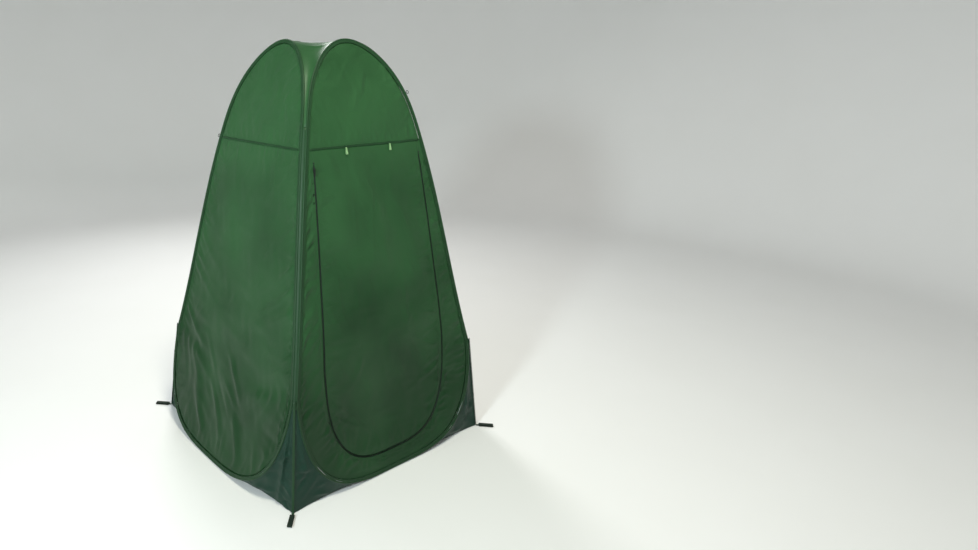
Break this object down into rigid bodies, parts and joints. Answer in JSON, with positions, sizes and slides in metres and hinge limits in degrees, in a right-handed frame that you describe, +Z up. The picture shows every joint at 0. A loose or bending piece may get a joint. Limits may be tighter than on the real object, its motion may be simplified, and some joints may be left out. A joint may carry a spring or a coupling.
{
  "type": "privacy shower tent",
  "caption": "Pop-up privacy tent of sprung hoops and coated cloth, with a zipped U-shaped door, seamed walls, ground gussets and webbing peg loops.",
  "frame": {"origin": "on the ground under the middle of the roof", "axes": "+Z up, the door faces -Y"},
  "size_m": [1.3486, 1.304, 1.9],
  "materials": {
    "tent_cloth": "green coated polyester taffeta with a satin sheen",
    "gusset_cloth": "green coated polyester taffeta, crumpled",
    "hoop_binding": "dark green woven binding",
    "webbing": "near-black polyester webbing",
    "zip_tape": "dark woven zip tape with a nylon coil",
    "tie_ribbon": "pale green elastic ribbon",
    "zip_metal": "dark painted die-cast zinc",
    "spring_steel": "bright spring-steel wire"
  },
  "bodies": {
    "tent": {"back_hoop_sleeve": "hoop_binding", "back_hoop_wire": "spring_steel", "back_left_corner_tape": "webbing", "back_left_ground_gusset": "gusset_cloth", "back_left_gusset_binding": "webbing", "back_left_roof_gusset": "tent_cloth", "back_lower_panel": "tent_cloth", "back_right_corner_tape": "webbing", "back_right_ground_gusset": "gusset_cloth", "back_right_gusset_binding": "webbing", "back_right_roof_gusset": "tent_cloth", "back_seam_tape": "webbing", "back_upper_panel": "tent_cloth", "door_surround": "tent_cloth", "front_guy_loop": "webbing", "front_hoop_sleeve": "hoop_binding", "front_hoop_wire": "spring_steel", "front_left_corner_tape": "webbing", "front_left_ground_gusset": "gusset_cloth", "front_left_gusset_binding": "webbing", "front_left_roof_gusset": "tent_cloth", "front_right_corner_tape": "webbing", "front_right_ground_gusset": "gusset_cloth", "front_right_gusset_binding": "webbing", "front_right_roof_gusset": "tent_cloth", "front_seam_tape": "webbing", "front_upper_panel": "tent_cloth", "left_guy_loop": "webbing", "left_hoop_sleeve": "hoop_binding", "left_hoop_wire": "spring_steel", "left_lower_panel": "tent_cloth", "left_seam_tape": "webbing", "left_upper_panel": "tent_cloth", "right_hoop_sleeve": "hoop_binding", "right_hoop_wire": "spring_steel", "right_lower_panel": "tent_cloth", "right_seam_tape": "webbing", "right_upper_panel": "tent_cloth", "roof_cap": "tent_cloth", "zip_stop_left": "zip_metal", "zip_stop_right": "zip_metal", "zip_tape_surround": "zip_tape"},
    "door": {"door_panel": "tent_cloth", "zip_tape_door": "zip_tape"},
    "slider": {"zip_slider": "zip_metal"},
    "pull": {"zip_pull": "zip_metal"},
    "tie_left": {"door_tie_left": "tie_ribbon"},
    "tie_right": {"door_tie_right": "tie_ribbon"},
    "front_left_peg_loop": {"front_left_peg_loop": "webbing"},
    "front_right_peg_loop": {"front_right_peg_loop": "webbing"},
    "back_right_peg_loop": {"back_right_peg_loop": "webbing"},
    "back_left_peg_loop": {"back_left_peg_loop": "webbing"}
  },
  "joints": [
    {"name": "door_raise", "type": "slide", "parent": "tent", "child": "door", "axis": [0, 0.162, 0.9868], "range_m": [0, 1.26], "deforming": ["door_panel", "zip_tape_door"]},
    {"name": "zip_travel", "type": "slide", "parent": "tent", "child": "slider", "axis": [0.0681, 0.2051, 0.9764], "range_m": [-0.15, 0]},
    {"name": "pull_swing", "type": "hinge", "parent": "slider", "child": "pull", "pos_m": [-0.30049, -0.36452, 1.38575], "axis": [-0.9977, 0.0149, 0.0669], "range_deg": [0, 150]},
    {"name": "tie_left_lift", "type": "hinge", "parent": "tent", "child": "tie_left", "pos_m": [-0.124, -0.3454, 1.46157], "axis": [-1, 0, 0], "range_deg": [0, 85]},
    {"name": "tie_right_lift", "type": "hinge", "parent": "tent", "child": "tie_right", "pos_m": [0.124, -0.3454, 1.46157], "axis": [-1, 0, 0], "range_deg": [0, 85]},
    {"name": "front_left_peg_loop_lift", "type": "hinge", "parent": "tent", "child": "front_left_peg_loop", "pos_m": [-0.59263, -0.59263, 0.001], "axis": [-0.7071, 0.7071, 0], "range_deg": [0, 95]},
    {"name": "front_right_peg_loop_lift", "type": "hinge", "parent": "tent", "child": "front_right_peg_loop", "pos_m": [0.59263, -0.59263, 0.001], "axis": [-0.7071, -0.7071, 0], "range_deg": [0, 95]},
    {"name": "back_right_peg_loop_lift", "type": "hinge", "parent": "tent", "child": "back_right_peg_loop", "pos_m": [0.59263, 0.59263, 0.001], "axis": [0.7071, -0.7071, 0], "range_deg": [0, 95]},
    {"name": "back_left_peg_loop_lift", "type": "hinge", "parent": "tent", "child": "back_left_peg_loop", "pos_m": [-0.59263, 0.59263, 0.001], "axis": [0.7071, 0.7071, 0], "range_deg": [0, 95]}
  ]
}
